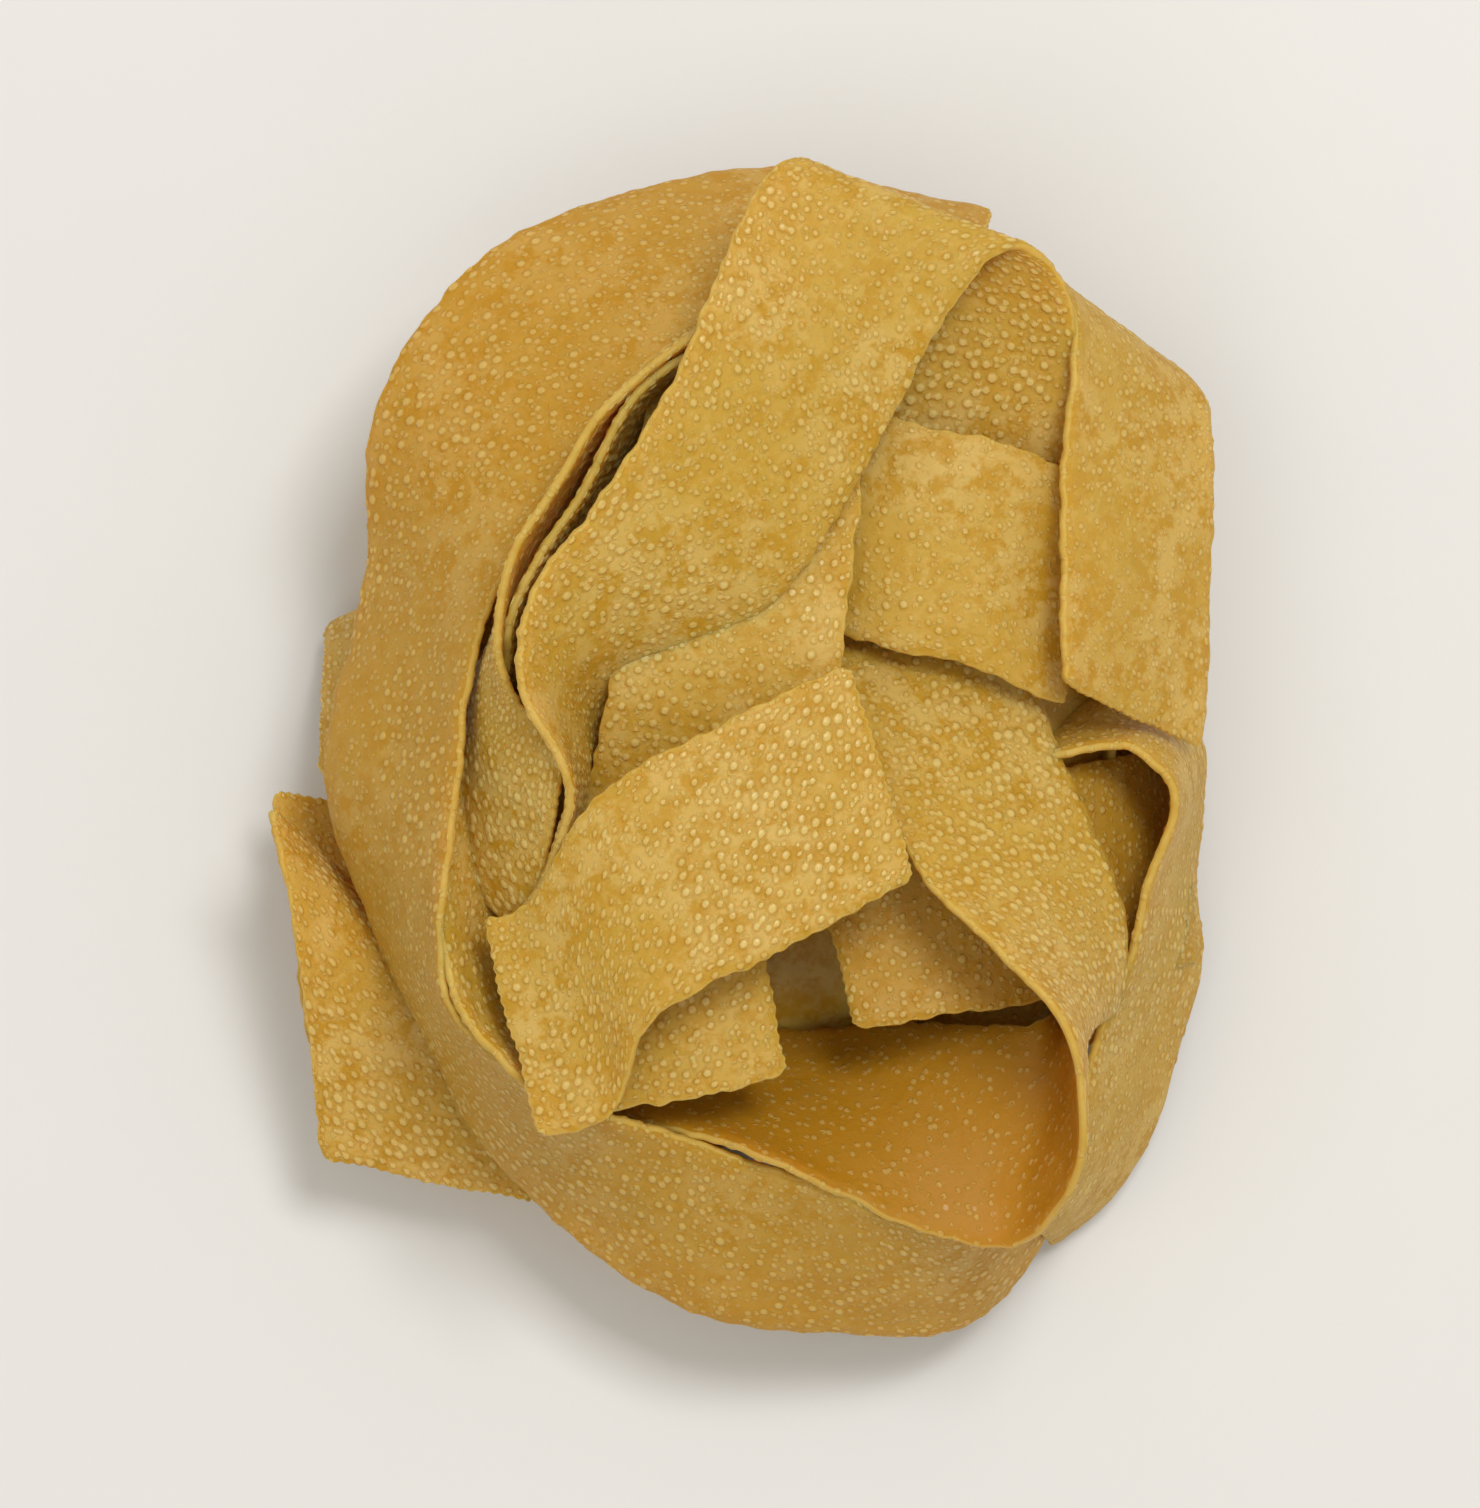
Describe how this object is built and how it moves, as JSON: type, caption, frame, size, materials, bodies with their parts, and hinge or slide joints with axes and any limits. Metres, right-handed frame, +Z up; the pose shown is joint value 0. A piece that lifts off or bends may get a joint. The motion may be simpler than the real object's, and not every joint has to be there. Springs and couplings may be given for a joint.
{
  "type": "dry pasta nest",
  "caption": "Oval nest of wide flat egg pasta ribbons, wound loosely and dried, with folds, cut ends and one open funnel on its upper side.",
  "frame": {"origin": "on the surface that the nest lies on, under the middle of its box", "axes": "+X across the nest, +Y along its length, +Z up, out of the side that shows its folds and funnel"},
  "size_m": [0.0794, 0.0982, 0.0443],
  "materials": {
    "egg_pasta": "dry, matte, finely blistered egg dough"
  },
  "bodies": {
    "root": {"pasta_nest": "egg_pasta"}
  },
  "joints": []
}
